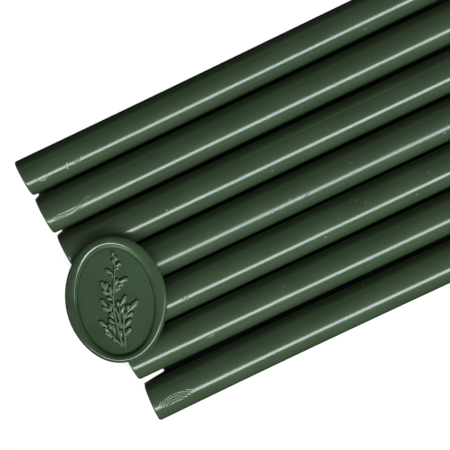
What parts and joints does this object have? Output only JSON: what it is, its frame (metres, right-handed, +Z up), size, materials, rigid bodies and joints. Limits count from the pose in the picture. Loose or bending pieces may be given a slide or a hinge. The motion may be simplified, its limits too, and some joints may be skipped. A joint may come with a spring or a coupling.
{
  "type": "sealing wax stick set",
  "caption": "Round sealing wax sticks for a glue gun, lying side by side, with a pressed oval wax seal bearing a leafy sprig laid across their near ends.",
  "frame": {"origin": "on the table, under the middle of the whole row's bounding box", "axes": "+X along the sticks, from the near ends that the seal lies on to the far ends; +Y across the row, from stick_7 to stick_1; +Z up"},
  "size_m": [0.1453, 0.0834, 0.0146],
  "materials": {
    "stick_wax": "satin",
    "seal_wax": "satin"
  },
  "bodies": {
    "stick_1": {"stick_1": "stick_wax"},
    "stick_2": {"stick_2": "stick_wax"},
    "stick_3": {"stick_3": "stick_wax"},
    "stick_4": {"stick_4": "stick_wax"},
    "stick_5": {"stick_5": "stick_wax"},
    "stick_6": {"stick_6": "stick_wax"},
    "stick_7": {"stick_7": "stick_wax"},
    "seal": {"wax_seal": "seal_wax"}
  },
  "joints": [
    {"name": "stick_1_slide", "type": "slide", "parent": "stick_4", "child": "stick_1", "axis": [1, 0, 0], "range_m": [0, 0.145]},
    {"name": "stick_2_slide", "type": "slide", "parent": "stick_4", "child": "stick_2", "axis": [1, 0, 0], "range_m": [0, 0.145]},
    {"name": "stick_3_slide", "type": "slide", "parent": "stick_4", "child": "stick_3", "axis": [1, 0, 0], "range_m": [0, 0.145]},
    {"name": "stick_5_slide", "type": "slide", "parent": "stick_4", "child": "stick_5", "axis": [1, 0, 0], "range_m": [0, 0.145]},
    {"name": "stick_6_slide", "type": "slide", "parent": "stick_4", "child": "stick_6", "axis": [1, 0, 0], "range_m": [0, 0.145]},
    {"name": "stick_7_slide", "type": "slide", "parent": "stick_4", "child": "stick_7", "axis": [1, 0, 0], "range_m": [0, 0.145]},
    {"name": "seal_lift", "type": "slide", "parent": "stick_4", "child": "seal", "axis": [0, 0, 1], "range_m": [0, 0.05]}
  ]
}
